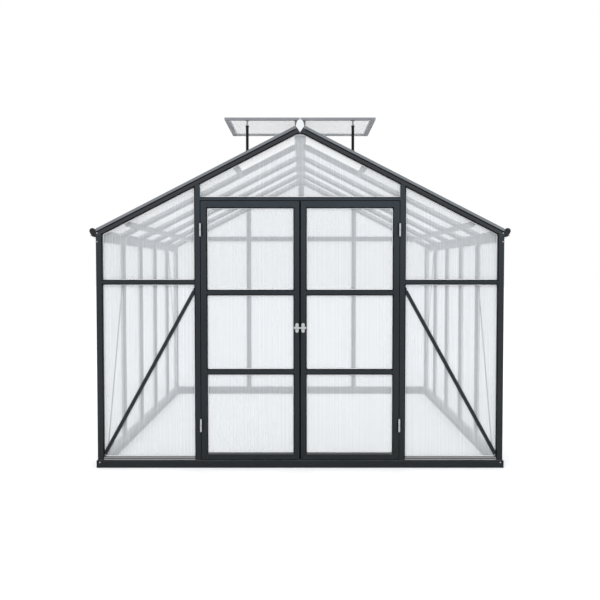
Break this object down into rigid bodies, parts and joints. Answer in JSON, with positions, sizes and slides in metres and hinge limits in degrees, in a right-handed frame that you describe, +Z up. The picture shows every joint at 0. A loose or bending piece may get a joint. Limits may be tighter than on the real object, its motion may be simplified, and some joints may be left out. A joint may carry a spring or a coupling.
{
  "type": "polycarbonate greenhouse",
  "caption": "Walk-in greenhouse with an aluminium frame, twin-wall polycarbonate sheets, double doors and two ridge vents held open.",
  "frame": {"origin": "middle of the whole greenhouse in plan, on the ground", "axes": "+Z up, doors towards -Y, +X to the right seen from the doors"},
  "size_m": [3.126, 3.672, 2.6053],
  "materials": {
    "frame_coat": "satin anthracite powder coat on aluminium",
    "gutter_coat": "satin anthracite powder coat",
    "verge_trim": "satin grey coat",
    "vent_frame": "satin mid-grey coat",
    "stay_black": "black coat",
    "end_piece": "pale moulded plastic",
    "hinge_metal": "bright satin",
    "latch_metal": "bright satin",
    "twinwall_sheet": "translucent twin-wall polycarbonate with fine upright flutes"
  },
  "bodies": {
    "house": {"base_end_rails": "frame_coat", "base_side_rails": "frame_coat", "sill_rails": "frame_coat", "corner_posts": "frame_coat", "door_jambs": "frame_coat", "door_header": "frame_coat", "front_mid_rails": "frame_coat", "front_braces": "frame_coat", "side_studs_left": "frame_coat", "side_studs_right": "frame_coat", "side_braces": "frame_coat", "eave_beams": "frame_coat", "gutters": "gutter_coat", "gutter_end_caps": "gutter_coat", "back_studs": "frame_coat", "back_tie_rails": "frame_coat", "front_rafters": "frame_coat", "back_rafters": "frame_coat", "verge_caps": "verge_trim", "roof_bars_left": "frame_coat", "roof_bars_right": "frame_coat", "ridge_beam": "frame_coat", "ridge_end_caps": "end_piece", "purlins": "frame_coat", "vent_sills": "frame_coat", "front_panels": "twinwall_sheet", "side_panels_left": "twinwall_sheet", "side_panels_right": "twinwall_sheet", "back_panels": "twinwall_sheet", "roof_panels_left": "twinwall_sheet", "roof_panels_right": "twinwall_sheet", "vent_frames": "vent_frame", "vent_panels": "twinwall_sheet", "vent_stays": "stay_black", "jamb_hinges": "hinge_metal"},
    "door_left": {"door_left_stiles": "frame_coat", "door_left_rails": "frame_coat", "door_left_panels": "twinwall_sheet", "door_left_hinges": "hinge_metal", "door_left_latch": "latch_metal"},
    "door_right": {"door_right_stiles": "frame_coat", "door_right_rails": "frame_coat", "door_right_panels": "twinwall_sheet", "door_right_hinges": "hinge_metal", "door_right_latch": "latch_metal"}
  },
  "joints": [
    {"name": "door_left", "type": "hinge", "parent": "house", "child": "door_left", "pos_m": [-0.741, -1.826, 0], "axis": [0, 0, -1], "range_deg": [0, 110]},
    {"name": "door_right", "type": "hinge", "parent": "house", "child": "door_right", "pos_m": [0.741, -1.826, 0], "axis": [0, 0, 1], "range_deg": [0, 110]}
  ]
}
